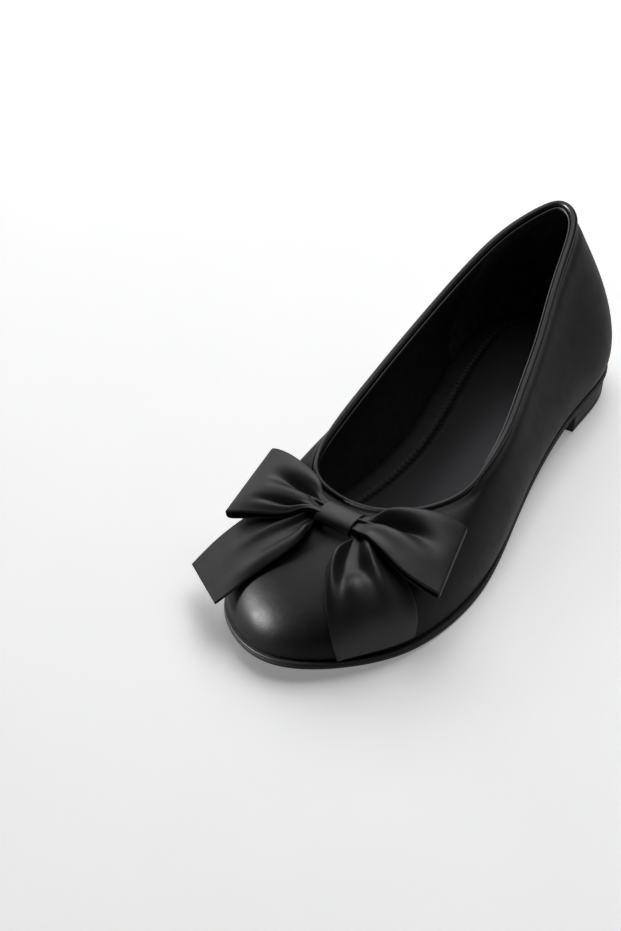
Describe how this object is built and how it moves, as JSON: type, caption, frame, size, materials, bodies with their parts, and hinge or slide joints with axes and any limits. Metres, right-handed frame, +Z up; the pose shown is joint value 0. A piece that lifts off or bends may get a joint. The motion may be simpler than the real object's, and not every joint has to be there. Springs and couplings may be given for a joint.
{
  "type": "ballet flat shoe",
  "caption": "Left ballet flat: hollow leather upper with bound topline, thin rubber sole, low heel block, padded insole and a ribbon bow on the vamp.",
  "frame": {"origin": "middle of the heel block's ground face, half way between its back and its breast", "axes": "+Y towards the heel, -Y towards the toe, +X towards the outer side of the left foot, +Z up"},
  "size_m": [0.0993, 0.2478, 0.0737],
  "materials": {
    "sole_rubber": "matte",
    "heel_block": "matte",
    "leather_upper": "satin",
    "leather_binding": "satin",
    "insole_lining": "matte",
    "leather_bow_loops": "satin",
    "leather_bow_tails": "satin",
    "leather_bow_knot": "satin"
  },
  "bodies": {
    "root": {"outsole": "sole_rubber", "heel": "heel_block", "upper": "leather_upper", "topline_binding": "leather_binding", "insole": "insole_lining", "bow_loops": "leather_bow_loops", "bow_tails": "leather_bow_tails", "bow_knot": "leather_bow_knot"}
  },
  "joints": []
}
